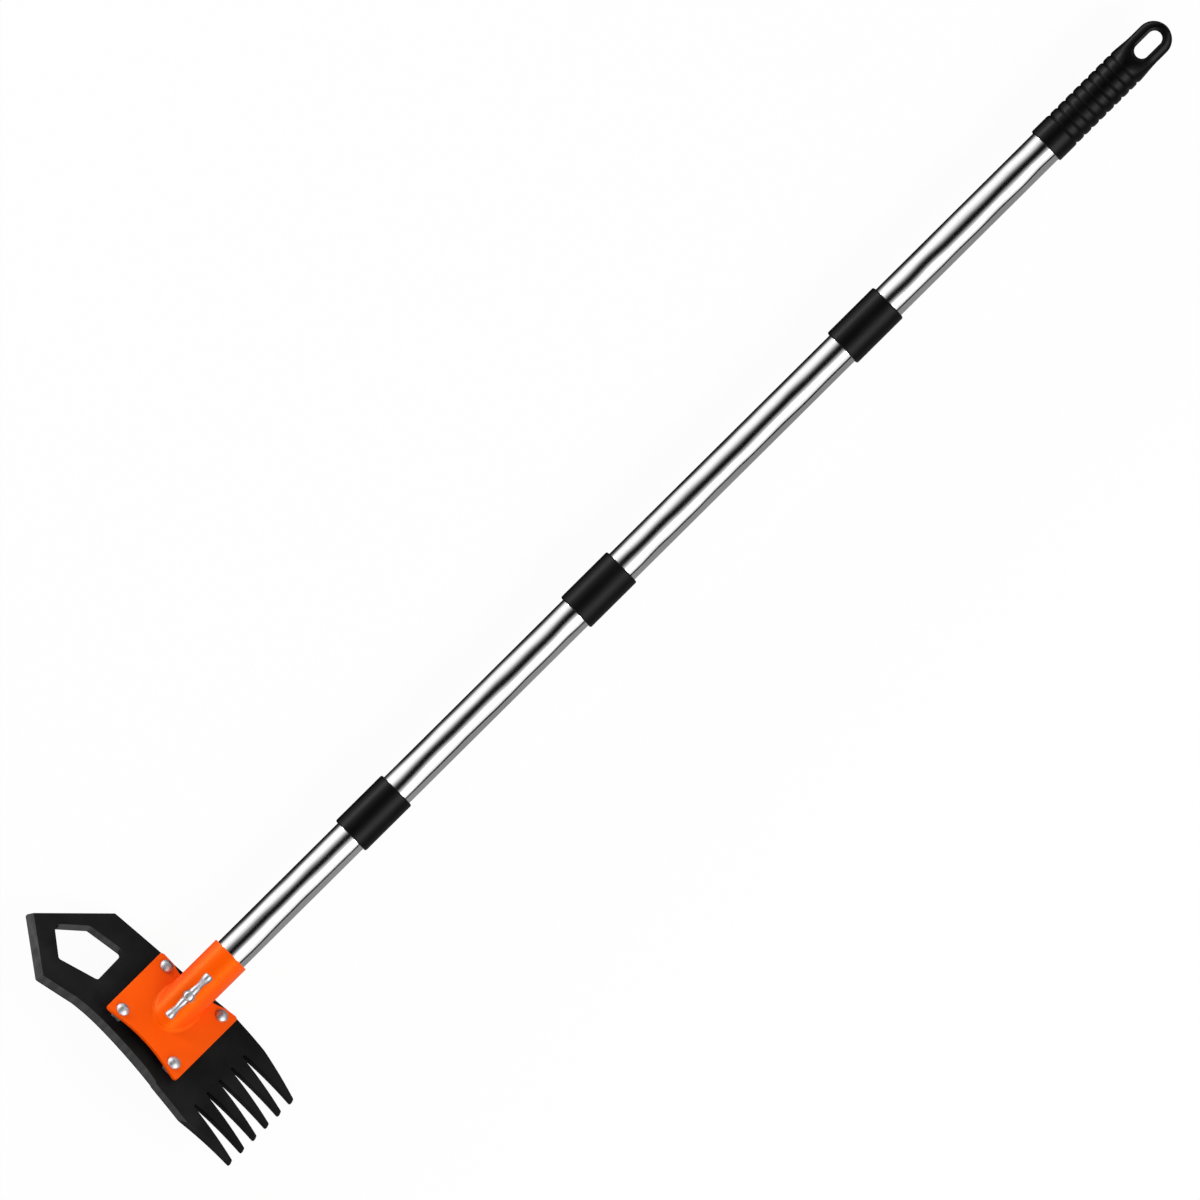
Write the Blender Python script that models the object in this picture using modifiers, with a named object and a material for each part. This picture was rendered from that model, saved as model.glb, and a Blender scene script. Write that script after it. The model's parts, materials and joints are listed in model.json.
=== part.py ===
"""Hoe and rake combination tool with a pole that screws together from four tubes.

The pole runs along +X from the head to the grip. The blade leans to face the grip.
The origin is on the blade's flat back face, behind the socket plate. Units are metres.
"""

import math

import bmesh
import bpy
from mathutils import Matrix, Vector

# Driving dimensions of the pole
TUBE_RADIUS = 0.0125
TUBE_WALL = 0.0010
POLE_HEIGHT = 0.0065
SOCKET_WALL = 0.0018
SOCKET_MOUTH_X = 0.061
TUBE_START_X = 0.0165
COUPLER_CENTRES_X = (0.1999, 0.4193, 0.6791)
COUPLER_LENGTH = 0.045
COUPLER_RADIUS = 0.01475
GRIP_START_X = 0.8552
GRIP_END_X = 0.9732
GAP = 0.0003

# Driving dimensions of the head, in the leaning frame of the blade
BLADE_LEAN = math.radians(36.0)
BLADE_THICKNESS = 0.004
PLATE_THICKNESS = 0.0025
STANDOFF = 0.005
SHARP_EDGE = 0.0008
FLAT_HALF = 0.012
BOW_END = 0.030
BLADE_BOW = 0.6
GROUND_BEVEL = 0.0042
EDGE_BEVEL = 0.0006
TINE_COUNT = 6
TINE_PITCH = 0.0148
TINE_TIP_V = -0.1026
TINE_ROOT_V = -0.0566
TINE_TIP_RADIUS = 0.0019
GAP_ROOT_RADIUS = 0.0012
FIRST_TIP_U = -0.0446
FIRST_ROOT_U = -0.0392

# Driving dimensions of the fasteners
BOLT_RADIUS = 0.0025
BOLT_HEAD_RADIUS = 0.0049
BOLT_HEAD_HEIGHT = 0.0028
BOLT_PLACES_UV = ((-0.0318, 0.0255), (-0.0330, -0.0255), (0.0208, 0.0255), (0.0243, -0.0255))
NUT_ACROSS_FLATS = 0.008
SPACER_ACROSS_FLATS = 0.0105
NUT_HEIGHT = 0.0040
WING_SCREW_X = 0.0198
WING_SCREW_RADIUS = 0.0025
WING_SPAN = 0.041

# The thread that joins two tubes
STUD_RADIUS = 0.0078
THREAD_PITCH = 0.003
THREAD_DEPTH = 0.0007
STUD_LENGTH = 0.020
FLANGE_THICKNESS = 0.002
INSERT_LENGTH = 0.026
PLUG_LENGTH = 0.018

PLATE_BACK_N = BLADE_THICKNESS + STANDOFF
PLATE_FRONT_N = PLATE_BACK_N + PLATE_THICKNESS
BORE_RADIUS = TUBE_RADIUS + GAP
SOCKET_RADIUS = BORE_RADIUS + SOCKET_WALL
TUBE_BORE = TUBE_RADIUS - TUBE_WALL
POLE_AXIS = Matrix.Translation((0, 0, POLE_HEIGHT)) @ Matrix.Rotation(math.radians(90), 4, "Y")
HEAD_FRAME = Matrix.Rotation(BLADE_LEAN, 4, "Y")
ROUND_SIDES = 40
THREAD_SIDES = 20
FASTENER_SIDES = 20

COLOURS = {
    "black_steel": ((0.012, 0.012, 0.013, 1), 0.45, 0.6),
    "orange_enamel": ((0.95, 0.13, 0.005, 1), 0.35, 0.0),
    "stainless": ((0.75, 0.75, 0.76, 1), 0.15, 1.0),
    "zinc": ((0.62, 0.64, 0.67, 1), 0.3, 1.0),
    "black_plastic": ((0.015, 0.015, 0.016, 1), 0.5, 0.0),
}


def clear_scene():
    """Remove the objects that a new file starts with."""
    for item in list(bpy.data.objects):
        bpy.data.objects.remove(item, do_unlink=True)


def new_collection(name):
    """Return a collection linked to the scene."""
    collection = bpy.data.collections.new(name)
    bpy.context.scene.collection.children.link(collection)
    return collection


def material_for(node, finish):
    """Return a piece's own Principled material."""
    colour, roughness, metallic = COLOURS[finish]
    material = bpy.data.materials.new(node)
    material.use_nodes = True
    shader = material.node_tree.nodes["Principled BSDF"]
    shader.inputs["Base Color"].default_value = colour
    shader.inputs["Roughness"].default_value = roughness
    shader.inputs["Metallic"].default_value = metallic
    return material


def place(mesh, name, finish, matrix=None):
    """Put a mesh into the part's collection as one named piece."""
    piece = bpy.data.objects.new(name, mesh)
    PARTS.objects.link(piece)
    piece.matrix_world = matrix or Matrix.Identity(4)
    mesh.materials.append(material_for(name, finish))
    return piece


def guide(mesh, name, matrix=None):
    """Put a mesh among the cutters, which are not pieces."""
    cutter = bpy.data.objects.new(name, mesh)
    CUTTERS.objects.link(cutter)
    cutter.matrix_world = matrix or Matrix.Identity(4)
    cutter.hide_render = True
    cutter.display_type = "WIRE"
    return cutter


def combine(piece, other, operation):
    """Add a Boolean to a piece."""
    modifier = piece.modifiers.new(operation.title(), "BOOLEAN")
    modifier.operation = operation
    modifier.object = other
    modifier.solver = "EXACT"


def smooth(mesh, angle=35):
    """Shade round faces smooth and keep real edges sharp."""
    mesh.shade_smooth()
    mesh.set_sharp_from_angle(angle=math.radians(angle))


def mesh_from(bm, name):
    """Turn a bmesh into a mesh whose faces point outward."""
    bmesh.ops.recalc_face_normals(bm, faces=bm.faces)
    mesh = bpy.data.meshes.new(name)
    bm.to_mesh(mesh)
    bm.free()
    return mesh


def cylinder(name, radius, low, high, sides=ROUND_SIDES):
    """Make a solid cylinder along Z between two heights."""
    bm = bmesh.new()
    shift = Matrix.Translation((0, 0, (low + high) / 2))
    bmesh.ops.create_cone(bm, cap_ends=True, segments=sides, radius1=radius, radius2=radius,
                          depth=high - low, matrix=shift)
    mesh = mesh_from(bm, name)
    smooth(mesh)
    return mesh


def turned(name, profile, sides=ROUND_SIDES):
    """Revolve a closed profile of (radius, height) points about Z."""
    bm = bmesh.new()
    rings = []
    for radius, height in profile:
        if radius < 1e-6:
            rings.append([bm.verts.new((0, 0, height))])
            continue
        ring = []
        for step in range(sides):
            angle = 2 * math.pi * step / sides
            ring.append(bm.verts.new((radius * math.cos(angle), radius * math.sin(angle), height)))
        rings.append(ring)
    for first, second in zip(rings, rings[1:] + rings[:1]):
        if len(first) == 1 and len(second) == 1:
            continue
        for step in range(sides):
            after = (step + 1) % sides
            corners = []
            for ring, index in ((first, step), (first, after), (second, after), (second, step)):
                vertex = ring[index % len(ring)]
                if vertex not in corners:
                    corners.append(vertex)
            bm.faces.new(corners)
    mesh = mesh_from(bm, name)
    smooth(mesh)
    return mesh


def sleeve_profile(inner, outer, low, high, chamfer=0.0):
    """Return the profile of a tube between two heights, with chamfered outer ends."""
    return [(inner, low), (outer - chamfer, low), (outer, low + chamfer),
            (outer, high - chamfer), (outer - chamfer, high), (inner, high)] if chamfer else [
                (inner, low), (outer, low), (outer, high), (inner, high)]


def inset_corner(before, corner, after, depth):
    """Move one corner of an anticlockwise outline inward with the two edges that meet there."""
    here = Vector(corner[:2])
    into = (here - Vector(before[:2])).normalized()
    out = (Vector(after[:2]) - here).normalized()
    start = here + Vector((-into.y, into.x)) * before[3] * depth
    finish = here + Vector((-out.y, out.x)) * corner[3] * depth
    turn = into.x * out.y - into.y * out.x
    nearly_straight = 0.3
    if abs(turn) < nearly_straight:
        return (start + finish) / 2, turn
    gap = finish - start
    return start + into * (gap.x * out.y - gap.y * out.x) / turn, turn


def outline_of(corners, depth=0.0, steps=5):
    """Round the corners (u, v, radius, inset of the next edge) of an outline.

    At depth 1 each edge lies inward by its inset, and the outline has as many points as at 0.
    """
    count = len(corners)
    moved = []
    for index, corner in enumerate(corners):
        after = corners[(index + 1) % count]
        place, turn = inset_corner(corners[index - 1], corner, after, depth)
        change = depth * max(corners[index - 1][3], corner[3]) * math.copysign(1, turn)
        moved.append((place, max(corner[2] - change, 0), corner[2] > 0))
    points = []
    for index, (here, radius, is_round) in enumerate(moved):
        if not is_round:
            points.append(here)
            continue
        before = (moved[index - 1][0] - here).normalized()
        after = (moved[(index + 1) % count][0] - here).normalized()
        half = before.angle(after) / 2
        centre = here + (before + after).normalized() * radius / math.sin(half)
        spoke = here + before * radius / math.tan(half) - centre
        sweep = math.copysign(math.pi - 2 * half, before.cross(after) * -1)
        for step in range(steps + 1):
            points.append(centre + Matrix.Rotation(sweep * step / steps, 2) @ spoke)
    return points


def stacked(name, layers):
    """Join equal outlines at several heights into one closed solid."""
    bm = bmesh.new()
    rings = []
    for outline, height in layers:
        rings.append([bm.verts.new((point[0], point[1], height)) for point in outline])
    bm.faces.new(rings[0])
    bm.faces.new(rings[-1])
    for lower, upper in zip(rings, rings[1:]):
        for index in range(len(lower)):
            after = (index + 1) % len(lower)
            bm.faces.new((lower[index], lower[after], upper[after], upper[index]))
    bmesh.ops.remove_doubles(bm, verts=bm.verts, dist=1e-6)
    return mesh_from(bm, name)


def arc_between(start, end, rise, steps):
    """Return the inner points of an arc with the given rise off its chord."""
    start = Vector(start)
    end = Vector(end)
    chord = end - start
    side = Vector((-chord.y, chord.x)).normalized()
    points = []
    for step in range(1, steps):
        t = step / steps
        points.append(start + chord * t + side * rise * 4 * t * (1 - t))
    return points


def blade_drop(v):
    """Return how far the blade curves back from its flat middle at the place v."""
    bow = BLADE_BOW * max(min(abs(v), BOW_END) - FLAT_HALF, 0) ** 2
    bow += 2 * BLADE_BOW * (BOW_END - FLAT_HALF) * max(abs(v) - BOW_END, 0)
    hoe_start = 0.030
    hoe_straight = 0.050
    hoe_slope = 0.138
    rake_start = -0.045
    rake_rate = 2.56
    if v > hoe_straight:
        return bow + hoe_slope * ((hoe_straight - hoe_start) / 2 + v - hoe_straight)
    if v > hoe_start:
        return bow + hoe_slope * (v - hoe_start) ** 2 / (2 * (hoe_straight - hoe_start))
    if v < rake_start:
        return bow + rake_rate * (v - rake_start) ** 2
    return bow


def blade_corners():
    """List the blade's outline anticlockwise, starting at the hoe's upper corner."""
    hoe_upper = (0.0322, 0.077)
    hoe_point = (-0.0158, 0.1198)
    hoe_lower = (-0.0534, 0.0825)
    arc_start = (-0.0488, 0.053)
    arc_end = (-0.0525, -0.0248)
    shoulder_low = (-0.0562, -0.056)
    shoulder_high = (0.0370, -0.0635)
    upper_middle = (0.0384, -0.030)
    upper_hoe = (0.0318, 0.044)
    corner = 0.002
    rake_bevel = 0.0026
    tine_bevel = 0.0008
    corners = [(*hoe_upper, corner, EDGE_BEVEL), (*hoe_point, corner, GROUND_BEVEL),
               (*hoe_lower, corner, GROUND_BEVEL), (*arc_start, 0, GROUND_BEVEL)]
    for point in arc_between(arc_start, arc_end, 0.0016, 8):
        corners.append((point.x, point.y, 0, GROUND_BEVEL))
    corners.append((*arc_end, 0, rake_bevel))
    corners.append((arc_end[0] - 0.0006, arc_end[1] - 0.0014, 0, rake_bevel))
    corners.append((*shoulder_low, 0.012, tine_bevel))
    for index in range(TINE_COUNT):
        tip_u = FIRST_TIP_U + index * TINE_PITCH
        corners.append((tip_u - TINE_TIP_RADIUS, TINE_TIP_V, TINE_TIP_RADIUS * 0.95, tine_bevel))
        corners.append((tip_u + TINE_TIP_RADIUS, TINE_TIP_V, TINE_TIP_RADIUS * 0.95, tine_bevel))
        if index < TINE_COUNT - 1:
            root_u = FIRST_ROOT_U + index * TINE_PITCH
            root_half = GAP_ROOT_RADIUS * 0.5
            corners.append((root_u - root_half, TINE_ROOT_V, 0, tine_bevel))
            corners.append((root_u + root_half, TINE_ROOT_V, 0, tine_bevel))
    corners.append((*shoulder_high, 0.014, EDGE_BEVEL))
    corners.append((*upper_middle, 0, EDGE_BEVEL))
    for point in arc_between(upper_middle, upper_hoe, 0.0012, 6):
        corners.append((point.x, point.y, 0, EDGE_BEVEL))
    corners.append((*upper_hoe, 0, EDGE_BEVEL))
    return corners


def hole_corners():
    """List the five corners of the hole in the hoe, with the bevel of each edge."""
    plain = 0.0002
    ground = 0.0026
    radius = 0.0025
    return [(0.0070, 0.0818, radius, ground), (-0.0105, 0.0993, radius, plain),
            (-0.029, 0.0818, radius, plain), (-0.0216, 0.0524, radius, plain),
            (0.0092, 0.0531, radius, ground)]


def make_blade():
    """Make the blade: a hoe with a five-cornered hole at one end and tines at the other."""
    outline = outline_of(blade_corners())
    front = outline_of(blade_corners(), 1.0)
    mesh = stacked("blade", [(outline, 0), (outline, SHARP_EDGE), (front, BLADE_THICKNESS)])
    blade = place(mesh, "blade", "black_steel", HEAD_FRAME)
    over = 0.002
    past_front = 1 + over / (BLADE_THICKNESS - SHARP_EDGE)
    hole = outline_of(hole_corners())
    wide = outline_of(hole_corners(), -past_front)
    layers = [(hole, -over), (hole, SHARP_EDGE), (wide, BLADE_THICKNESS + over)]
    combine(blade, guide(stacked("hole_cutter", layers), "hole_cutter", HEAD_FRAME), "DIFFERENCE")
    for name, u, v in bolt_places():
        shank = cylinder("clear_" + name, BOLT_RADIUS + GAP, -over, BLADE_THICKNESS + over,
                         FASTENER_SIDES)
        matrix = HEAD_FRAME @ Matrix.Translation((u, v, 0))
        combine(blade, guide(shank, "clear_" + name, matrix), "DIFFERENCE")
    bend_blade(blade)


def bend_blade(blade):
    """Cut the finished blade into strips and let its two ends curve back."""
    solid = evaluated_copy(blade)
    bm = bmesh.new()
    bm.from_mesh(solid)
    levels = [-BOW_END, -0.021, -FLAT_HALF, FLAT_HALF, 0.021, BOW_END, 0.035, 0.040, 0.045, 0.050]
    levels += [-0.045 - 0.0062 * step for step in range(10)]
    for level in levels:
        geometry = list(bm.verts) + list(bm.edges) + list(bm.faces)
        bmesh.ops.bisect_plane(bm, geom=geometry, dist=1e-7, plane_co=(0, level, 0),
                               plane_no=(0, 1, 0))
    for vertex in bm.verts:
        vertex.co.z -= blade_drop(vertex.co.y)
    bent = mesh_from(bm, "blade")
    smooth(bent, 20)
    blade.modifiers.clear()
    blade.data = bent
    bent.materials.append(solid.materials[0])


def evaluated_copy(piece):
    """Return the mesh of a piece with its modifiers carried out."""
    bpy.context.view_layer.update()
    graph = bpy.context.evaluated_depsgraph_get()
    return bpy.data.meshes.new_from_object(piece.evaluated_get(graph))


def bolt_places():
    """Return the name and place of each bolt that holds the plate to the blade."""
    return [(f"plate_bolt_{index}", u, v) for index, (u, v) in enumerate(BOLT_PLACES_UV, 1)]


def make_bolt(name, u, v):
    """Make a round-headed bolt through the plate, its spacer nut and the blade."""
    dome = []
    dome_steps = 4
    for step in range(dome_steps + 1):
        angle = math.radians(90) * (1 - step / dome_steps)
        dome.append((BOLT_HEAD_RADIUS * math.cos(angle), GAP + BOLT_HEAD_HEIGHT * math.sin(angle)))
    end = -PLATE_FRONT_N - NUT_HEIGHT - 0.0015
    chamfer = 0.0005
    profile = dome + [(BOLT_RADIUS, GAP), (BOLT_RADIUS, end + chamfer),
                      (BOLT_RADIUS - chamfer, end), (0, end)]
    matrix = HEAD_FRAME @ Matrix.Translation((u, v, PLATE_FRONT_N))
    place(turned(name, profile, FASTENER_SIDES), name, "zinc", matrix)


def make_nut(name, u, v, low, high, across_flats):
    """Make a hexagon nut with chamfered corners, threaded on a bolt."""
    bm = bmesh.new()
    across_corners = across_flats / math.cos(math.radians(30))
    shift = Matrix.Translation((0, 0, (low + high) / 2))
    bmesh.ops.create_cone(bm, cap_ends=True, segments=6, radius1=across_corners / 2,
                          radius2=across_corners / 2, depth=high - low, matrix=shift)
    matrix = HEAD_FRAME @ Matrix.Translation((u, v, 0))
    nut = place(mesh_from(bm, name), name, "zinc", matrix)
    over = 0.001
    bore = cylinder(name + "_bore", BOLT_RADIUS + GAP, low - over, high + over, 12)
    combine(nut, guide(bore, name + "_bore", matrix), "DIFFERENCE")
    edge = nut.modifiers.new("Bevel", "BEVEL")
    edge.width = 0.0004
    edge.segments = 1
    edge.limit_method = "ANGLE"
    edge.angle_limit = math.radians(50)


def plate_outline():
    """Return the plate's outline, with a hollow lower edge and notches by the socket."""
    half_width = 0.035
    hoe_upper = 0.0270
    hoe_lower = -0.0400
    rake_upper = 0.0334
    rake_lower = -0.0425
    hollow = 0.0050
    notch_half = 0.0158
    notch_depth = 0.0045
    corner = 0.0025
    middle = (hoe_upper + rake_upper) / 2
    slope = (hoe_upper - rake_upper) / (2 * half_width)
    corners = [(hoe_upper, half_width, corner, 0), (hoe_lower, half_width, corner, 0)]
    hollow_start = (hoe_lower, half_width - corner)
    for point in arc_between(hollow_start, (rake_lower, corner - half_width), hollow, 10):
        corners.append((point.x, point.y, 0, 0))
    corners += [(rake_lower, -half_width, corner, 0), (rake_upper, -half_width, corner, 0)]
    for v, share, radius in ((-notch_half * 1.5, 0.3, 0.004), (-notch_half, 1.0, 0),
                             (notch_half, 1.0, 0), (notch_half * 1.5, 0.3, 0.004)):
        corners.append((middle + slope * v - notch_depth * share, v, radius, 0))
    return outline_of(corners, steps=4)


def make_socket_plate():
    """Make the plate with the socket pressed and rolled from the same sheet."""
    outline = plate_outline()
    mesh = stacked("socket_plate", [(outline, PLATE_BACK_N), (outline, PLATE_FRONT_N)])
    plate = place(mesh, "socket_plate", "orange_enamel", HEAD_FRAME)
    socket_low = -0.030
    shell = guide(cylinder("socket_shell", SOCKET_RADIUS, socket_low, SOCKET_MOUTH_X, 48),
                  "socket_shell", POLE_AXIS)
    behind = guide(behind_plate(), "behind_plate", HEAD_FRAME)
    combine(shell, behind, "DIFFERENCE")
    combine(plate, shell, "UNION")
    over = 0.001
    bore = guide(cylinder("socket_bore", BORE_RADIUS, socket_low - over, SOCKET_MOUTH_X + over, 48),
                 "socket_bore", POLE_AXIS)
    combine(plate, bore, "DIFFERENCE")
    for name, u, v in bolt_places():
        shank = cylinder("plate_" + name, BOLT_RADIUS + GAP, PLATE_BACK_N - over,
                         PLATE_FRONT_N + over, FASTENER_SIDES)
        matrix = HEAD_FRAME @ Matrix.Translation((u, v, 0))
        combine(plate, guide(shank, "plate_" + name, matrix), "DIFFERENCE")
    combine(plate, screw_cutter("plate_screw_hole"), "DIFFERENCE")


def behind_plate():
    """Return the block of space behind the plate's back face."""
    size = 0.2
    bm = bmesh.new()
    bmesh.ops.create_cube(bm, size=size,
                          matrix=Matrix.Translation((0, 0, PLATE_BACK_N - size / 2)))
    return mesh_from(bm, "behind_plate")


def screw_cutter(name):
    """Return the clearance hole of the wing screw through the socket and the tube."""
    radius = WING_SCREW_RADIUS + GAP
    reach = 0.020
    matrix = Matrix.Translation((WING_SCREW_X, 0, POLE_HEIGHT))
    return guide(cylinder(name, radius, 0.004, reach, 24), name, matrix)


def make_tubes():
    """Make the four tubes, which meet end to end inside the couplers."""
    ends = [TUBE_START_X]
    for centre in COUPLER_CENTRES_X:
        ends += [centre - FLANGE_THICKNESS - GAP, centre + FLANGE_THICKNESS + GAP]
    grip_depth = 0.070
    ends.append(GRIP_START_X + grip_depth)
    for index in range(len(ends) // 2):
        name = f"pole_tube_{index + 1}"
        low, high = ends[2 * index], ends[2 * index + 1]
        profile = sleeve_profile(TUBE_BORE, TUBE_RADIUS, low, high)
        tube = place(turned(name, profile), name, "stainless", POLE_AXIS)
        if index == 0:
            combine(tube, screw_cutter("tube_screw_hole"), "DIFFERENCE")


def thread_profile(low, high, radius):
    """Return the outer points of a stud with V grooves, one groove to each pitch."""
    points = []
    crest = THREAD_PITCH * 0.3
    count = int((high - low) / THREAD_PITCH)
    for index in range(count):
        base = low + index * THREAD_PITCH
        points.append((radius, base + crest))
        points.append((radius - THREAD_DEPTH, base + THREAD_PITCH * 0.65))
    points.append((radius, low + count * THREAD_PITCH))
    return points


def make_coupling(index, centre):
    """Make one joint: a female insert, a male stud and the sleeve that covers both."""
    insert = f"threaded_insert_{index}"
    fit = TUBE_BORE - GAP
    insert_low = centre - FLANGE_THICKNESS - INSERT_LENGTH
    bore = STUD_RADIUS + GAP
    profile = [(bore, insert_low), (fit, insert_low), (fit, centre - FLANGE_THICKNESS),
               (TUBE_RADIUS, centre - FLANGE_THICKNESS), (TUBE_RADIUS, centre - GAP / 2),
               (bore, centre - GAP / 2)]
    place(turned(insert, profile, THREAD_SIDES), insert, "black_plastic", POLE_AXIS)
    stud = f"threaded_stud_{index}"
    stud_low = centre - STUD_LENGTH
    chamfer = 0.001
    profile = [(0, stud_low), (STUD_RADIUS - chamfer, stud_low)]
    profile += thread_profile(stud_low, centre - chamfer, STUD_RADIUS)
    profile += [(STUD_RADIUS, centre + GAP / 2), (TUBE_RADIUS, centre + GAP / 2),
                (TUBE_RADIUS, centre + FLANGE_THICKNESS), (fit, centre + FLANGE_THICKNESS),
                (fit, centre + FLANGE_THICKNESS + PLUG_LENGTH),
                (0, centre + FLANGE_THICKNESS + PLUG_LENGTH)]
    place(turned(stud, profile, THREAD_SIDES), stud, "black_plastic", POLE_AXIS)
    sleeve = f"coupler_sleeve_{index}"
    half = COUPLER_LENGTH / 2
    profile = sleeve_profile(TUBE_RADIUS + GAP, COUPLER_RADIUS, centre - half, centre + half, 0.0007)
    place(turned(sleeve, profile, 36), sleeve, "black_plastic", POLE_AXIS)


def grip_profile():
    """Return the outer profile of the grip, with its collar, ribs and round end."""
    collar_radius = 0.0141
    rib_radius = 0.0139
    groove_radius = 0.0130
    paddle_radius = 0.0134
    first_groove = GRIP_START_X + 0.0172
    pitch = 0.00735
    grooves = 9
    groove_half = 0.0010
    points = [(BORE_RADIUS, GRIP_START_X), (collar_radius - 0.0005, GRIP_START_X),
              (collar_radius, GRIP_START_X + 0.0006), (collar_radius, first_groove - groove_half)]
    for index in range(grooves):
        middle = first_groove + index * pitch
        points.append((groove_radius, middle))
        if index < grooves - 1:
            points.append((rib_radius - 0.0002, middle + groove_half))
            points.append((rib_radius, middle + pitch / 2))
            points.append((rib_radius - 0.0002, middle + pitch - groove_half))
    last_groove = first_groove + (grooves - 1) * pitch
    points.append((paddle_radius, last_groove + groove_half))
    end_centre = GRIP_END_X - paddle_radius
    end_steps = 6
    for step in range(end_steps + 1):
        angle = math.radians(90) * step / end_steps
        points.append((paddle_radius * math.cos(angle), end_centre + paddle_radius * math.sin(angle)))
    points[-1] = (0, GRIP_END_X)
    bore_end = GRIP_START_X + 0.071
    points += [(0, bore_end), (BORE_RADIUS, bore_end)]
    return points


def make_grip():
    """Make the moulded grip and flatten its end round the hanging slot."""
    grip = place(turned("grip", grip_profile(), 28), "grip", "black_plastic", POLE_AXIS)
    flat_half = 0.0064
    flat_edge = 0.0136
    past_end = GRIP_END_X + 0.002
    flat_start = GRIP_START_X + 0.0775
    flat_full = GRIP_START_X + 0.0925
    slab = 0.012
    for side in (1, -1):
        outline = [(flat_start, side * flat_edge), (flat_full, side * flat_half),
                   (past_end, side * flat_half), (past_end, side * (flat_half + slab)),
                   (flat_start, side * (flat_half + slab))]
        matrix = Matrix.Translation((0, 0, POLE_HEIGHT)) @ Matrix.Rotation(math.radians(90), 4, "X")
        name = "grip_flat_top" if side > 0 else "grip_flat_bottom"
        mesh = stacked(name, [(outline, -0.02), (outline, 0.02)])
        combine(grip, guide(mesh, name, matrix), "DIFFERENCE")
    slot_low = GRIP_START_X + 0.0880
    slot_high = GRIP_START_X + 0.1118
    slot_radius = 0.0053
    slot_corner = slot_radius * 0.98
    corners = [(slot_high, slot_radius, slot_corner, 0), (slot_low, slot_radius, slot_corner, 0),
               (slot_low, -slot_radius, slot_corner, 0), (slot_high, -slot_radius, slot_corner, 0)]
    outline = outline_of(corners, steps=6)
    mesh = stacked("slot_cutter", [(outline, -0.02), (outline, 0.02)])
    matrix = Matrix.Translation((0, 0, POLE_HEIGHT))
    combine(grip, guide(mesh, "slot_cutter", matrix), "DIFFERENCE")


def make_wing_screw():
    """Make the wing screw, its washer and the nut that it pulls against inside the tube."""
    seat = POLE_HEIGHT + SOCKET_RADIUS
    washer_height = 0.0012
    matrix = Matrix.Translation((WING_SCREW_X, 0, 0))
    washer_low = seat + GAP
    washer_radius = 0.0046
    washer_high = washer_low + washer_height
    profile = sleeve_profile(WING_SCREW_RADIUS + GAP, washer_radius, washer_low, washer_high)
    place(turned("wing_washer", profile, FASTENER_SIDES), "wing_washer", "zinc", matrix)
    hub_low = washer_high + GAP
    hub_radius = 0.0044
    hub_top_radius = 0.0034
    hub_height = 0.0080
    shank_end = POLE_HEIGHT + TUBE_BORE - 0.0085
    profile = [(0, shank_end), (WING_SCREW_RADIUS - 0.0005, shank_end),
               (WING_SCREW_RADIUS, shank_end + 0.0005), (WING_SCREW_RADIUS, hub_low),
               (hub_radius, hub_low), (hub_radius, hub_low + 0.002),
               (hub_top_radius, hub_low + hub_height - 0.0008),
               (hub_top_radius - 0.0010, hub_low + hub_height), (0, hub_low + hub_height)]
    screw = place(turned("wing_screw", profile, 24), "wing_screw", "zinc", matrix)
    for side in (1, -1):
        name = "wing_front" if side > 0 else "wing_rear"
        wing = guide(wing_mesh(name, hub_low, side), name, matrix)
        combine(screw, wing, "UNION")
    nut_high = POLE_HEIGHT + TUBE_BORE - 0.0014
    nut_low = nut_high - 0.0048
    nut_radius = 0.0052
    bm = bmesh.new()
    shift = Matrix.Translation((0, 0, (nut_low + nut_high) / 2))
    bmesh.ops.create_cone(bm, cap_ends=True, segments=6, radius1=nut_radius, radius2=nut_radius,
                          depth=nut_high - nut_low, matrix=shift)
    nut = place(mesh_from(bm, "tube_nut"), "tube_nut", "zinc", matrix)
    over = 0.001
    bore = cylinder("tube_nut_bore", WING_SCREW_RADIUS + GAP, nut_low - over, nut_high + over, 16)
    combine(nut, guide(bore, "tube_nut_bore", matrix), "DIFFERENCE")


def wing_mesh(name, base, side):
    """Return one wing: a bar that rises from the hub and ends in a rounded ear."""
    tip = WING_SPAN / 2
    stations = [(0.0010, 0.0032, 0.0012, 0.0062), (0.0055, 0.0029, 0.0018, 0.0066),
                (0.0090, 0.0024, 0.0034, 0.0080), (0.0120, 0.0023, 0.0048, 0.0098),
                (0.0145, 0.0028, 0.0056, 0.0118), (0.0165, 0.0033, 0.0060, 0.0130),
                (tip - 0.0012, 0.0035, 0.0066, 0.0138), (tip, 0.0027, 0.0076, 0.0130)]
    sides = 14
    bm = bmesh.new()
    rings = []
    for reach, half, low, high in stations:
        ring = []
        middle = base + (low + high) / 2
        rise = (high - low) / 2
        for step in range(sides):
            angle = 2 * math.pi * step / sides
            ring.append(bm.verts.new((side * reach, half * math.cos(angle),
                                      middle + rise * math.sin(angle))))
        rings.append(ring)
    bm.faces.new(rings[0])
    bm.faces.new(rings[-1])
    for first, second in zip(rings, rings[1:]):
        for index in range(sides):
            after = (index + 1) % sides
            bm.faces.new((first[index], first[after], second[after], second[index]))
    return mesh_from(bm, name)


def build():
    """Make every piece of the tool."""
    make_blade()
    make_socket_plate()
    for index, (name, u, v) in enumerate(bolt_places(), 1):
        make_bolt(name, u, v)
        make_nut(f"spacer_nut_{index}", u, v, BLADE_THICKNESS + GAP, PLATE_BACK_N - GAP,
                 SPACER_ACROSS_FLATS)
        make_nut(f"back_nut_{index}", u, v, -GAP - NUT_HEIGHT, -GAP, NUT_ACROSS_FLATS)
    make_tubes()
    for index, centre in enumerate(COUPLER_CENTRES_X, 1):
        make_coupling(index, centre)
    make_grip()
    make_wing_screw()


clear_scene()
PARTS = new_collection("hoe_and_rake")
CUTTERS = new_collection("cutters")
build()
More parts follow.
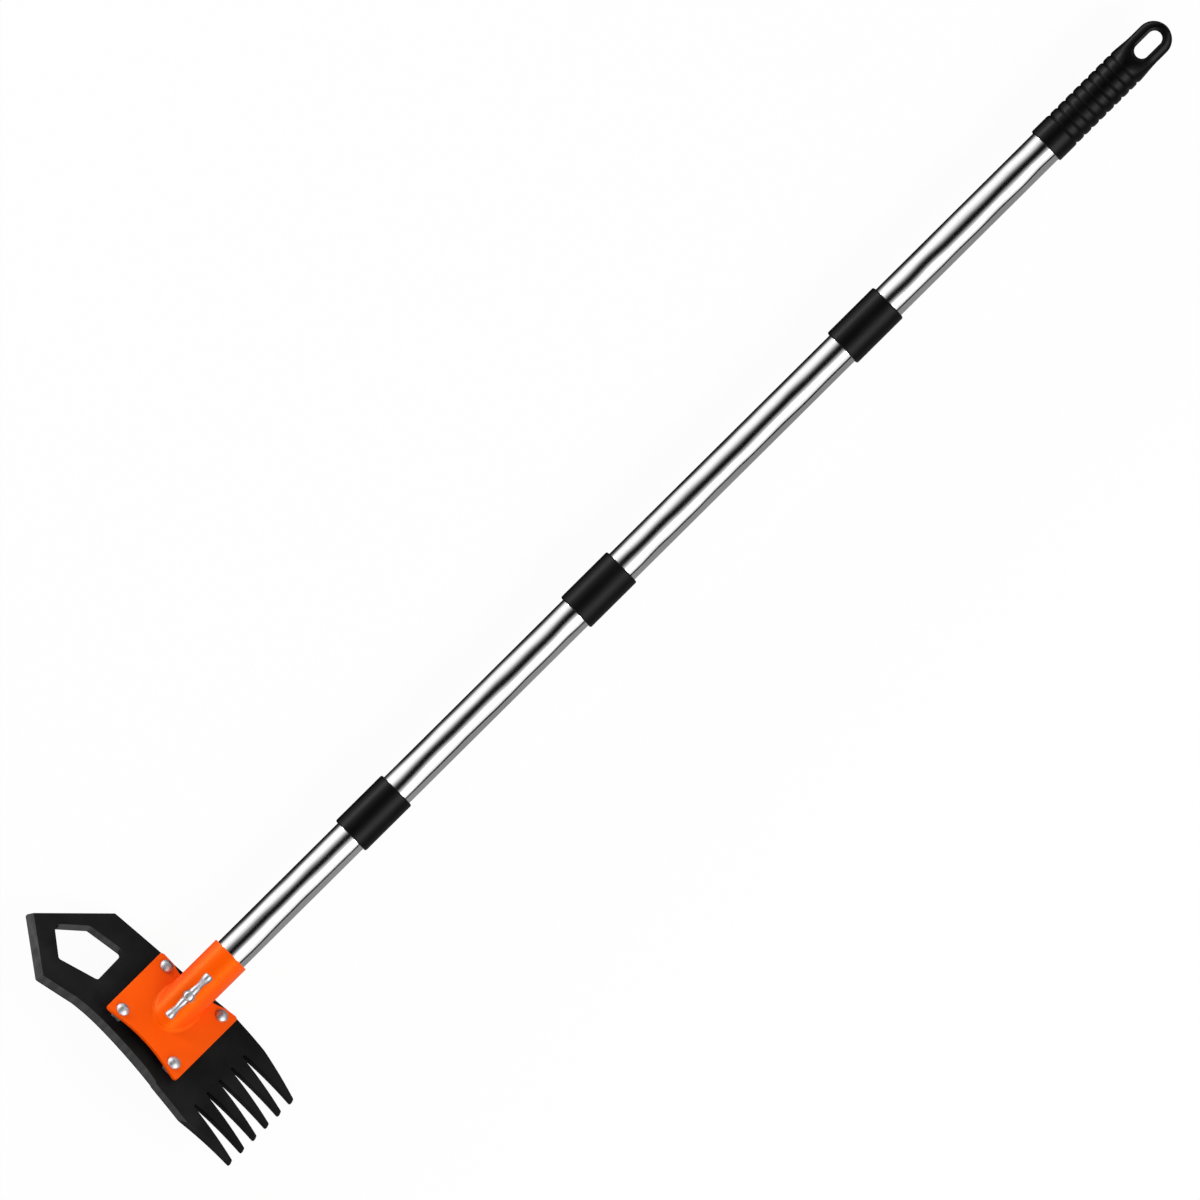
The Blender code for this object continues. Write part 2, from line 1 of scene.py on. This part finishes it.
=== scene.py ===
"""Looks of the hoe and rake combination tool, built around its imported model.

The tool lies under a camera that looks almost straight down on it, as in the photograph.
"""

import math

import json

import bmesh
import bpy
from mathutils import Matrix, Vector


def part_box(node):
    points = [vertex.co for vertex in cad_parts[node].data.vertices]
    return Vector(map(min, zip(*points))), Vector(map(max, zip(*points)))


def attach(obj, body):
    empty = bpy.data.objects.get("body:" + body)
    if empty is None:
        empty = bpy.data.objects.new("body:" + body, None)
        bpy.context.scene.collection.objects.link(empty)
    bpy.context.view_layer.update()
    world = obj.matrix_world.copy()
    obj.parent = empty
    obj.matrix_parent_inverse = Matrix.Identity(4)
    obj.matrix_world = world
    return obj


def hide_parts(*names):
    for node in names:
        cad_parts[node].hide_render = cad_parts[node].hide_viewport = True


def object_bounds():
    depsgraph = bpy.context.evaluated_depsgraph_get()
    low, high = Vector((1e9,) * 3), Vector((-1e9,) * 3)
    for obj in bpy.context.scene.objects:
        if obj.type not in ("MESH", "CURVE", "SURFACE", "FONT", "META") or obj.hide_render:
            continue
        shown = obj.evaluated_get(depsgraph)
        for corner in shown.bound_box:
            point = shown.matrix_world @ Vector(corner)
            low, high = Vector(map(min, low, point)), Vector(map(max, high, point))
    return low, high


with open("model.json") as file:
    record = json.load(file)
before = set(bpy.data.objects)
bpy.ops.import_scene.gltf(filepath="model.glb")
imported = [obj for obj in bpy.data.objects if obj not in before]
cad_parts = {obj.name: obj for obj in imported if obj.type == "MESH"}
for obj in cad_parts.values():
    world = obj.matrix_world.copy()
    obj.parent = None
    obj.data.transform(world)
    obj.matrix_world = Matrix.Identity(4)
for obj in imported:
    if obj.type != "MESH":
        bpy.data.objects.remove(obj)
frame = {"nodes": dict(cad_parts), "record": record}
cad_low, cad_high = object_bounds()

# Places and sizes read from the frame
SOCKET_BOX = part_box("socket_plate")
GRIP_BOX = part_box("grip")
TUBE_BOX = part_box("pole_tube_2")
TUBE_RADIUS = (TUBE_BOX[1].y - TUBE_BOX[0].y) / 2
POLE_HEIGHT = (TUBE_BOX[0].z + TUBE_BOX[1].z) / 2
BORE_CLEARANCE = 0.00015
BORE_RADIUS = TUBE_RADIUS + BORE_CLEARANCE

# The blade's lean, the plate's front and the socket round the pole, as part.py makes them
BLADE_LEAN = math.radians(36)
BLADE_NORMAL = Vector((math.sin(BLADE_LEAN), 0, math.cos(BLADE_LEAN)))
PLATE_FRONT = 0.0115
SOCKET_RADIUS = 0.0146

# Degrees between two faces from which their shared edge stays crisp, and the reach that welds points
CRISP_ANGLE = 28
SOFT_FORMS = {"wing_screw": 62, "grip": 48}
NEW_PIECE_CRISP_ANGLE = 45
WELD_REACH = 0.000005

# A long lens looks almost straight down, and the picture is 1200 pixels wide
CAMERA_DISTANCE = 20.0
METRES_PER_PIXEL = 0.0006915
FRAME_PIXELS = 1200
SOCKET_MOUTH_PIXEL = (231.0, 954.5)
POLE_SLOPE = math.radians(44.77)
CAMERA_TILT = math.radians(-1.3)
SENSOR = 36.0

# The point near the tool's middle that the lamps, the flags and the floor are set round
MIDDLE = Vector((0.47, 0, 0))


class Nodes:
    """Builds one material's node tree with short calls."""

    def __init__(self, name):
        self.material = bpy.data.materials.new(name)
        self.material.use_nodes = True
        self.tree = self.material.node_tree
        self.shader = self.tree.nodes["Principled BSDF"]
        self.coordinates = self.tree.nodes.new("ShaderNodeTexCoord").outputs["Object"]

    def node(self, kind, values=None, **settings):
        """Add a node, set its properties and fill or link its inputs."""
        made = self.tree.nodes.new(kind)
        for key, value in settings.items():
            setattr(made, key, value)
        for key, value in (values or {}).items():
            if isinstance(value, bpy.types.NodeSocket):
                self.tree.links.new(value, made.inputs[key])
            else:
                made.inputs[key].default_value = value
        return made

    def noise(self, scale, detail, stretch=None):
        """Return a noise value in object space, with its own scale on each axis where stretch is given."""
        source = self.coordinates
        if stretch:
            source = self.node("ShaderNodeMapping", {"Vector": source, "Scale": stretch}).outputs[0]
        made = self.node("ShaderNodeTexNoise", {"Vector": source, "Scale": scale, "Detail": detail})
        return made.outputs["Fac"]

    def spread(self, value, low, high, start=0.0, end=1.0):
        """Map a value from one range to another, clamped."""
        return self.node("ShaderNodeMapRange", {"Value": value, "From Min": low, "From Max": high,
                                                "To Min": start, "To Max": end}).outputs[0]

    def maths(self, operation, first, second):
        """Combine two values."""
        made = self.node("ShaderNodeMath", {0: first, 1: second}, operation=operation)
        return made.outputs[0]

    def mix(self, factor, first, second):
        """Blend two colours by a factor."""
        made = self.tree.nodes.new("ShaderNodeMix")
        made.data_type = "RGBA"
        for key, value in ((0, factor), (6, first), (7, second)):
            if isinstance(value, bpy.types.NodeSocket):
                self.tree.links.new(value, made.inputs[key])
            else:
                made.inputs[key].default_value = value
        return made.outputs[2]

    def bump(self, height, strength, distance, after=None):
        """Return a bumped normal, added to another one where given."""
        values = {"Height": height, "Strength": strength, "Distance": distance}
        if after:
            values["Normal"] = after
        return self.node("ShaderNodeBump", values).outputs[0]

    def edge_wear(self, radius):
        """Return a mask that is 1 along edges, from how far a rounded normal turns there."""
        rounded = self.node("ShaderNodeBevel", {"Radius": radius}, samples=6).outputs[0]
        plain = self.tree.nodes.new("ShaderNodeNewGeometry").outputs["Normal"]
        product = self.node("ShaderNodeVectorMath", {0: rounded, 1: plain}, operation="DOT_PRODUCT")
        return self.spread(product.outputs["Value"], 0.985, 0.85)

    def finish(self, **inputs):
        """Set or link the shader's inputs by name, with underscores for spaces."""
        for key, value in inputs.items():
            socket = self.shader.inputs[key.replace("_", " ")]
            if isinstance(value, bpy.types.NodeSocket):
                self.tree.links.new(value, socket)
            else:
                socket.default_value = value
        return self.material


def black_steel():
    """Black oxide steel with painted sheen patches in its mottled colour, paler where its cutting edges
    are ground.
    """
    n = Nodes("black_steel")
    cloud = n.noise(26, 3)
    fine = n.noise(900, 3)
    scratch = n.noise(160, 4, (0.18, 1.4, 1.0))
    normal = n.tree.nodes.new("ShaderNodeNewGeometry").outputs["Normal"]
    lean = n.node("ShaderNodeVectorMath", {0: normal, 1: tuple(BLADE_NORMAL)},
                  operation="DOT_PRODUCT").outputs["Value"]
    ground = n.maths("MULTIPLY", n.spread(lean, 0.45, 0.55), n.spread(lean, 0.93, 0.86))
    # The cloudy mottling from oxide_dark up to the paler tone is painted sheen: its pale patches stand in
    # for soft reflections on the blade and tines.
    oxide_dark = (0.0026, 0.0026, 0.0026, 1)
    oxide_painted_sheen = (0.0100, 0.0100, 0.0101, 1)
    steel_dark = (0.036, 0.036, 0.037, 1)
    steel_pale = (0.060, 0.060, 0.061, 1)
    rubbed = (0.06, 0.06, 0.06, 1)
    # Mix the two oxide tones by the cloud, which paints soft sheen patches over the blade.
    oxide_with_painted_sheen = n.mix(n.spread(cloud, 0.35, 0.65), oxide_dark, oxide_painted_sheen)
    steel = n.mix(n.spread(scratch, 0.3, 0.7), steel_dark, steel_pale)
    colour = n.mix(ground, oxide_with_painted_sheen, steel)
    worn = n.maths("MULTIPLY", n.edge_wear(0.0006), n.spread(cloud, 0.42, 0.62))
    colour = n.mix(n.maths("MULTIPLY", worn, 0.4), colour, rubbed)
    rough = n.spread(scratch, 0.25, 0.75, 0.36, 0.50)
    bump = n.bump(fine, 0.25, 0.00006, n.bump(scratch, 0.2, 0.00008))
    return n.finish(Base_Color=colour, Metallic=0.0, Roughness=rough, Normal=bump, Specular_IOR_Level=0.12)


def orange_enamel():
    """Satin orange powder coat with a faint orange peel and softened creases."""
    n = Nodes("orange_enamel")
    peel = n.noise(420, 2)
    cloud = n.noise(22, 3)
    orange_deep = (0.95, 0.076, 0.0002, 1)
    orange_bright = (1.0, 0.094, 0.0005, 1)
    rubbed = (0.55, 0.05, 0.002, 1)
    sheen = (1.0, 0.42, 0.03, 1)
    colour = n.mix(n.spread(cloud, 0.3, 0.7), orange_deep, orange_bright)
    worn = n.maths("MULTIPLY", n.edge_wear(0.0005), n.spread(cloud, 0.5, 0.66))
    colour = n.mix(n.maths("MULTIPLY", worn, 0.35), colour, rubbed)
    rough = n.spread(peel, 0.3, 0.7, 0.36, 0.46)
    soft = n.node("ShaderNodeBevel", {"Radius": 0.0006}, samples=8).outputs[0]
    bump = n.bump(peel, 0.15, 0.0001, soft)
    return n.finish(Base_Color=colour, Roughness=rough, Normal=bump, Specular_IOR_Level=0.9,
                    Specular_Tint=sheen)


def stainless():
    """Polished stainless tube with faint drawing lines along it and a slight waviness."""
    n = Nodes("stainless")
    lines = n.noise(700, 3, (0.012, 1.0, 1.0))
    smear = n.noise(16, 4, (0.5, 1.0, 1.0))
    wave = n.noise(22, 1, (0.8, 1.0, 1.0))
    ripple = n.noise(60, 0, (0.9, 1.0, 1.0))
    steel_grey = (0.76, 0.76, 0.765, 1)
    steel_bright = (0.92, 0.92, 0.925, 1)
    colour = n.mix(n.spread(smear, 0.3, 0.7), steel_grey, steel_bright)
    rough = n.maths("ADD", n.spread(smear, 0.3, 0.7, 0.09, 0.13), n.spread(lines, 0.3, 0.7, 0.0, 0.04))
    bump = n.bump(ripple, 0.8, 0.0007, n.bump(wave, 0.8, 0.0028))
    return n.finish(Base_Color=colour, Metallic=1.0, Roughness=rough, Normal=bump)


def zinc():
    """Zinc plate on the fasteners, slightly mottled."""
    n = Nodes("zinc")
    spangle = n.noise(420, 4)
    turned = n.noise(1500, 2)
    zinc_grey = (0.50, 0.51, 0.53, 1)
    zinc_pale = (0.66, 0.67, 0.70, 1)
    colour = n.mix(n.spread(spangle, 0.35, 0.65), zinc_grey, zinc_pale)
    rough = n.spread(spangle, 0.3, 0.7, 0.40, 0.52)
    bump = n.bump(turned, 0.12, 0.00003)
    return n.finish(Base_Color=colour, Metallic=1.0, Roughness=rough, Normal=bump)


def black_plastic(name, grain_scale, smoothest, roughest):
    """Moulded black plastic with a fine grain and faint rubbing."""
    n = Nodes(name)
    cells = n.node("ShaderNodeTexVoronoi", {"Vector": n.coordinates, "Scale": grain_scale})
    cloud = n.noise(30, 4)
    black = (0.0008, 0.0008, 0.0009, 1)
    charcoal = (0.0020, 0.0020, 0.0021, 1)
    rubbed = (0.025, 0.025, 0.025, 1)
    colour = n.mix(n.spread(cloud, 0.3, 0.7), black, charcoal)
    worn = n.maths("MULTIPLY", n.edge_wear(0.0005), n.spread(cloud, 0.45, 0.65))
    colour = n.mix(n.maths("MULTIPLY", worn, 0.3), colour, rubbed)
    rough = n.spread(cloud, 0.25, 0.75, smoothest, roughest)
    soft = n.node("ShaderNodeBevel", {"Radius": 0.0004}, samples=8).outputs[0]
    bump = n.bump(cells.outputs["Distance"], 0.25, 0.00006, soft)
    return n.finish(Base_Color=colour, Roughness=rough, Normal=bump, Specular_IOR_Level=0.14)


FINISHES = {
    "black_steel": black_steel(),
    "orange_enamel": orange_enamel(),
    "stainless": stainless(),
    "zinc": zinc(),
    "black_plastic": black_plastic("black_plastic", 1500, 0.36, 0.44),
    "grip_plastic": black_plastic("grip_plastic", 1100, 0.30, 0.38),
}


def dress_frame():
    """Give every CAD node the material of its slot, and smooth its round faces."""
    for row in frame["record"]["subparts"]:
        node = frame["nodes"][row["node"]]
        node.data.materials.clear()
        node.data.materials.append(FINISHES[row["material_slot"]])
        weld = node.modifiers.new("Weld", "WELD")
        weld.merge_threshold = WELD_REACH
        node.data.shade_smooth()
        sharp = node.modifiers.new("Edges", "EDGE_SPLIT")
        sharp.split_angle = math.radians(SOFT_FORMS.get(row["node"], CRISP_ANGLE))


def smooth_step(value, low, high):
    """Rise smoothly from 0 at low to 1 at high."""
    t = min(max((value - low) / (high - low), 0.0), 1.0)
    return t * t * (3 - 2 * t)


def ring(x, half_y, half_z, power=2.0):
    """Return a ring of points across the pole, from round at power 2 to boxy above it."""
    count = 96
    points = []
    for index in range(count):
        angle = 2 * math.pi * index / count
        across = math.cos(angle)
        rise = math.sin(angle)
        y = half_y * math.copysign(abs(across) ** (2 / power), across)
        z = half_z * math.copysign(abs(rise) ** (2 / power), rise)
        points.append(Vector((x, y, POLE_HEIGHT + z)))
    return points


def loft(rings, looped=False):
    """Join rings of points into one closed skin, capped at both ends or looped onto itself."""
    bm = bmesh.new()
    made = [[bm.verts.new(point) for point in points] for points in rings]
    count = len(made[0])
    pairs = list(zip(made, made[1:]))
    if looped:
        pairs.append((made[-1], made[0]))
    else:
        bm.faces.new(list(reversed(made[0])))
        bm.faces.new(made[-1])
    for before, after in pairs:
        for index in range(count):
            following = (index + 1) % count
            bm.faces.new((before[index], before[following], after[following], after[index]))
    bmesh.ops.recalc_face_normals(bm, faces=bm.faces)
    return bm


def add_piece(name, bm, body, slot, *replaced):
    """Make a piece from a skin, ride it on its body and give it the finish of its slot."""
    mesh = bpy.data.meshes.new(name)
    bm.to_mesh(mesh)
    bm.free()
    mesh.shade_smooth()
    mesh.materials.append(FINISHES[slot])
    piece = bpy.data.objects.new(name, mesh)
    bpy.context.scene.collection.objects.link(piece)
    sharp = piece.modifiers.new("Edges", "EDGE_SPLIT")
    sharp.split_angle = math.radians(NEW_PIECE_CRISP_ANGLE)
    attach(piece, body)
    if replaced:
        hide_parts(*replaced)


def make_sleeve(index):
    """Make a coupler sleeve with moulded round corners, bored for the tube."""
    node = f"coupler_sleeve_{index}"
    low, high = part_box(node)
    outer = (high.y - low.y) / 2
    corner = 0.0013
    steps = 6
    profile = [(low.x + corner, BORE_RADIUS), (high.x - corner, BORE_RADIUS)]
    for centre, start in ((high.x - corner, 0), (low.x + corner, 90)):
        for step in range(steps + 1):
            angle = math.radians(start + 90 * step / steps)
            profile.append((centre + corner * math.cos(angle), outer - corner + corner * math.sin(angle)))
    rings = [ring(x, radius, radius) for x, radius in profile]
    add_piece(f"sleeve_shell_{index}", loft(rings, looped=True), f"sleeve_{index}", "black_plastic", node)


def rib_radius(along):
    """Return the grip's radius at a distance from its mouth, over its collar and cushioned ribs."""
    collar = 0.0141
    crown = 0.0140
    valley = 0.0129
    first_valley = 0.0172
    pitch = 0.00735
    valleys = 9
    step = (along - first_valley) / pitch
    nearest = min(max(round(step), 0), valleys - 1)
    away = min(abs(step - nearest) * 2, 1.0)
    top = collar if step < 0 else crown
    flatness = 4
    return valley + (top - valley) * (1 - (1 - away) ** flatness)


def grip_section(along, length):
    """Return half the width, half the height and the boxiness of the grip at a distance from its mouth."""
    paddle_start = 0.0762
    paddle_full = 0.0960
    paddle_width = 0.0128
    paddle_height = 0.0064
    rim = 0.0026
    mouth_length = 0.0010
    mouth_depth = 0.0008
    round_power = 2.0
    added_power = 1.2
    radius = rib_radius(along)
    if along < mouth_length:
        radius -= mouth_depth * (1 - math.sin(math.acos(1 - along / mouth_length)))
    if along < paddle_start:
        return radius, radius, round_power
    flat = smooth_step(along, paddle_start, paddle_full)
    width = radius + (paddle_width - radius) * flat
    height = radius + (paddle_height - radius) * flat
    inward = length - along
    if inward < paddle_width:
        width *= math.sqrt(max(1 - (1 - inward / paddle_width) ** 2, 0.0))
    if inward < rim:
        height -= rim * (1 - math.sqrt(max(1 - (1 - inward / rim) ** 2, 0.0)))
    return width, height, round_power + added_power * flat


def slot_distance(x, y, low, high, radius):
    """Return how far a point lies outside the hanging slot's outline."""
    along = max(low + radius - x, x - (high - radius), 0.0)
    return math.hypot(along, y) - radius


def make_grip():
    """Make the moulded grip, whose ribs run softly into the flat end round its hanging slot."""
    low, high = GRIP_BOX
    length = high.x - low.x
    bore_depth = 0.071
    slot_low = low.x + 0.0880
    slot_high = low.x + 0.1118
    slot_radius = 0.0053
    slot_rim = 0.0020
    slot_sink = 0.0011
    bore_mouth = 0.0004
    bore_end_radius = 0.0004
    spacing = 0.00049
    end_length = 0.002
    end_steps = 14
    shortest_step = 0.00005
    stations = [index * spacing for index in range(int(length / spacing))]
    stations = [along for along in stations if along < length - end_length]
    for step in range(end_steps + 1):
        stations.append(length - end_length * (1 - step / end_steps) ** 2 - shortest_step)
    rings = [ring(low.x + bore_depth, radius, radius) for radius in (bore_end_radius, BORE_RADIUS)]
    rings.append(ring(low.x + bore_mouth, BORE_RADIUS, BORE_RADIUS))
    for along in stations:
        half_y, half_z, power = grip_section(along, length)
        points = ring(low.x + along, half_y, half_z, power)
        for point in points:
            near = slot_distance(point.x, point.y, slot_low, slot_high, slot_radius)
            sink = slot_sink * (1 - smooth_step(near, 0.0, slot_rim))
            point.z -= math.copysign(min(sink, abs(point.z - POLE_HEIGHT)), point.z - POLE_HEIGHT)
        rings.append(points)
    skin = difference(loft(rings), slot_cutter(slot_low, slot_high, slot_radius))
    add_piece("grip_shell", skin, "section_4", "grip_plastic", "grip")


def slot_cutter(low, high, radius):
    """Return an upright bar with round ends, in the form of a slot."""
    steps = 20
    reach = 0.02
    outline = []
    for centre, start in ((high - radius, -90), (low + radius, 90)):
        for step in range(steps + 1):
            angle = math.radians(start + 180 * step / steps)
            outline.append((centre + radius * math.cos(angle), radius * math.sin(angle)))
    return loft([[Vector((x, y, POLE_HEIGHT + z)) for x, y in outline] for z in (-reach, reach)])


def difference(whole, cutter):
    """Return a skin with another one cut away."""
    things = []
    for name, skin in (("whole", whole), ("cutter", cutter)):
        mesh = bpy.data.meshes.new(name)
        skin.to_mesh(mesh)
        skin.free()
        thing = bpy.data.objects.new(name, mesh)
        bpy.context.scene.collection.objects.link(thing)
        things.append(thing)
    cut = things[0].modifiers.new("Cut", "BOOLEAN")
    cut.operation = "DIFFERENCE"
    cut.solver = "EXACT"
    cut.object = things[1]
    result = bmesh.new()
    result.from_object(things[0], bpy.context.evaluated_depsgraph_get())
    for thing in things:
        bpy.data.meshes.remove(thing.data)
    return result


def make_fillet():
    """Round the inner corner where the socket rises from the plate."""
    reach = 0.0024
    tip_share = 0.04
    taper = 0.25
    sunk = 0.00004
    root_depth = 0.0004
    half_turn = math.radians(128)
    sections = 72
    steps = 7
    rings = []
    for section in range(sections + 1):
        turn = half_turn * (2 * section / sections - 1)
        outward = Vector((0, math.sin(turn), math.cos(turn)))
        foot = Vector((0, 0, POLE_HEIGHT)) + outward * SOCKET_RADIUS
        foot.x = (PLATE_FRONT - foot.z * BLADE_NORMAL.z) / BLADE_NORMAL.x
        along_plate = (outward - BLADE_NORMAL * outward.dot(BLADE_NORMAL)).normalized()
        along_socket = (BLADE_NORMAL - outward * BLADE_NORMAL.dot(outward)).normalized()
        fullness = smooth_step(1 - abs(turn) / half_turn, 0.0, taper)
        size = reach * (tip_share + (1 - tip_share) * fullness)
        first = foot + along_plate * size - BLADE_NORMAL * sunk
        last = foot + along_socket * size
        offset = Vector((0, last.y, last.z - POLE_HEIGHT)).normalized() * (SOCKET_RADIUS - sunk)
        last = Vector((last.x, offset.y, POLE_HEIGHT + offset.z))
        points = []
        for step in range(steps + 1):
            t = step / steps
            points.append(first * (1 - t) ** 2 + foot * 2 * t * (1 - t) + last * t ** 2)
        points.append(foot - (BLADE_NORMAL + outward) * root_depth)
        rings.append(points)
    add_piece("socket_fillet", loft(rings), "head", "orange_enamel")


def facing(place, target, along):
    """Return the matrix of a lamp at a place that shines at a target, with its long side given."""
    away = (Vector(place) - Vector(target)).normalized()
    across = away.cross(Vector(along)).normalized()
    matrix = Matrix((across.cross(away), across, away)).transposed().to_4x4()
    matrix.translation = place
    return matrix


def soft_lamp(name, place, size_x, size_y, radiance):
    """Add a long soft lamp beside the pole that shines at its middle."""
    lamp = bpy.data.lights.new(name, "AREA")
    lamp.shape = "RECTANGLE"
    lamp.size = size_x
    lamp.size_y = size_y
    lamp.energy = radiance * math.pi * size_x * size_y
    holder = bpy.data.objects.new(name, lamp)
    bpy.context.scene.collection.objects.link(holder)
    holder.matrix_world = facing(place, MIDDLE, (1, 0, 0))
    holder.visible_camera = False


def make_lights():
    """Light the tool with a long soft lamp on each side of the pole."""
    soft_lamp("key_light", (MIDDLE.x, 2.25, 0.60), size_x=3.4, size_y=0.45, radiance=8.0)
    soft_lamp("fill_light", (MIDDLE.x, -1.60, 1.70), size_x=3.0, size_y=1.2, radiance=3.1)


def flag(name, place, size_x, size_y, fade_low, fade_high, depth=1.0, upright=False):
    """Add a black card that only reflections see, faded out at both ends of its own Y axis.

    The fades are the widths over which it comes in from its low and its high end, and depth is how
    dense it gets between them.
    """
    bm = bmesh.new()
    bmesh.ops.create_grid(bm, x_segments=1, y_segments=1, size=0.5)
    bmesh.ops.scale(bm, vec=(size_x, size_y, 1), verts=bm.verts)
    mesh = bpy.data.meshes.new(name)
    bm.to_mesh(mesh)
    bm.free()
    card = bpy.data.objects.new(name, mesh)
    bpy.context.scene.collection.objects.link(card)
    card.location = place
    if upright:
        card.rotation_euler.x = math.radians(90)
    card.visible_camera = False
    card.visible_diffuse = False
    card.visible_shadow = False
    card.visible_transmission = False
    n = Nodes(name)
    felt = n.mix(n.noise(60, 2), (0.004, 0.004, 0.004, 1), (0.008, 0.008, 0.008, 1))
    n.finish(Base_Color=felt, Roughness=1.0, Specular_IOR_Level=0.0)
    across = n.node("ShaderNodeSeparateXYZ", {0: n.coordinates}).outputs["Y"]
    from_low = n.maths("ADD", across, size_y / 2)
    from_high = n.maths("SUBTRACT", size_y / 2, across)
    covers = [n.node("ShaderNodeMapRange", {"Value": value, "From Min": 0.0, "From Max": fade},
                     interpolation_type="SMOOTHSTEP").outputs[0]
              for value, fade in ((from_low, fade_low), (from_high, fade_high))]
    cover = n.maths("MULTIPLY", n.maths("MULTIPLY", covers[0], covers[1]), depth)
    clear = n.tree.nodes.new("ShaderNodeBsdfTransparent").outputs[0]
    blend = n.node("ShaderNodeMixShader", {0: cover, 1: clear, 2: n.shader.outputs[0]}).outputs[0]
    n.tree.links.new(blend, n.tree.nodes["Material Output"].inputs["Surface"])
    mesh.materials.append(n.material)


def make_flags():
    """Set black flags over the pole, low on each side of it and past the grip, for dark reflections."""
    ground = cad_low[2] + 0.001
    length = 6.0
    crisp = 0.001
    flag("flag_over", (MIDDLE.x, 0.65, 1.6), length, 3.3, fade_low=1.1, fade_high=1.85)
    flag("flag_side", (MIDDLE.x, -1.5, ground + 0.25), length, 0.5, crisp, fade_high=0.25, upright=True)
    flag("flag_left", (MIDDLE.x, -0.755, ground), length, 1.49, crisp, crisp, depth=0.72)
    flag("flag_right", (MIDDLE.x, 0.12, ground), length, 0.26, crisp, fade_high=0.22)
    flag("flag_end", (3.0, 0, 1.0), 1.6, 4.0, fade_low=0.5, fade_high=0.5)


def make_world():
    """Show white to the camera and in reflections, and light the rest at a plain level."""
    world = bpy.data.worlds.new("studio")
    bpy.context.scene.world = world
    world.use_nodes = True
    tree = world.node_tree
    tree.nodes.clear()
    out = tree.nodes.new("ShaderNodeOutputWorld")
    shown = seen_share(tree)
    plain = tree.nodes.new("ShaderNodeBackground")
    plain.inputs["Color"].default_value = (0.53, 0.53, 0.53, 1)
    white = tree.nodes.new("ShaderNodeBackground")
    white.inputs["Color"].default_value = (1, 1, 1, 1)
    blend = tree.nodes.new("ShaderNodeMixShader")
    tree.links.new(shown, blend.inputs[0])
    tree.links.new(plain.outputs[0], blend.inputs[1])
    tree.links.new(white.outputs[0], blend.inputs[2])
    tree.links.new(blend.outputs[0], out.inputs[0])


def seen_share(tree):
    """Return 1 for rays from the camera, reflections and clear materials, and 0 for the rest."""
    path = tree.nodes.new("ShaderNodeLightPath")
    share = path.outputs["Is Camera Ray"]
    for kind in ("Is Glossy Ray", "Is Transmission Ray"):
        larger = tree.nodes.new("ShaderNodeMath")
        larger.operation = "MAXIMUM"
        tree.links.new(share, larger.inputs[0])
        tree.links.new(path.outputs[kind], larger.inputs[1])
        share = larger.outputs[0]
    return share


def make_floor():
    """Lay a white floor just under the tool's lowest point."""
    clearance = 0.001
    size = 8.0
    glow_share = 0.94
    bm = bmesh.new()
    bmesh.ops.create_grid(bm, x_segments=1, y_segments=1, size=size / 2)
    mesh = bpy.data.meshes.new("floor")
    bm.to_mesh(mesh)
    bm.free()
    floor = bpy.data.objects.new("floor", mesh)
    bpy.context.scene.collection.objects.link(floor)
    floor.location = (MIDDLE.x, MIDDLE.y, cad_low[2] - clearance)
    n = Nodes("floor")
    colour = n.mix(n.noise(9, 2), (0.90, 0.90, 0.90, 1), (0.92, 0.92, 0.92, 1))
    n.finish(Base_Color=colour, Roughness=0.9, Specular_IOR_Level=0.1)
    glow = n.node("ShaderNodeEmission", {"Color": (1, 1, 1, 1), "Strength": 1.0}).outputs[0]
    share = n.maths("MULTIPLY", seen_share(n.tree), glow_share)
    blend = n.node("ShaderNodeMixShader", {0: share, 1: n.shader.outputs[0], 2: glow}).outputs[0]
    n.tree.links.new(blend, n.tree.nodes["Material Output"].inputs["Surface"])
    mesh.materials.append(n.material)


def make_camera():
    """Place the camera over the tool, rolled so that the pole runs up to the right."""
    data = bpy.data.cameras.new("camera")
    camera = bpy.data.objects.new("camera", data)
    bpy.context.scene.collection.objects.link(camera)
    right = Vector((math.cos(POLE_SLOPE), -math.sin(POLE_SLOPE), 0))
    up = Vector((math.sin(POLE_SLOPE), math.cos(POLE_SLOPE), 0))
    tilt = Matrix.Rotation(CAMERA_TILT, 3, "Y")
    right = tilt @ right
    up = tilt @ up
    back = right.cross(up)
    mouth = Vector((SOCKET_BOX[1].x, 0, POLE_HEIGHT))
    half = FRAME_PIXELS / 2
    across = (SOCKET_MOUTH_PIXEL[0] - half) * METRES_PER_PIXEL
    rise = (half - SOCKET_MOUTH_PIXEL[1]) * METRES_PER_PIXEL
    matrix = Matrix((right, up, back)).transposed().to_4x4()
    matrix.translation = mouth - right * across - up * rise + back * CAMERA_DISTANCE
    camera.matrix_world = matrix
    data.sensor_width = SENSOR
    data.lens = SENSOR * CAMERA_DISTANCE / (FRAME_PIXELS * METRES_PER_PIXEL)
    data.clip_end = CAMERA_DISTANCE * 2.5
    bpy.context.scene.camera = camera


dress_frame()
for sleeve_index in (1, 2, 3):
    make_sleeve(sleeve_index)
make_grip()
make_fillet()
make_lights()
make_flags()
make_world()
make_floor()
make_camera()
bpy.context.scene.view_settings.view_transform = "Standard"
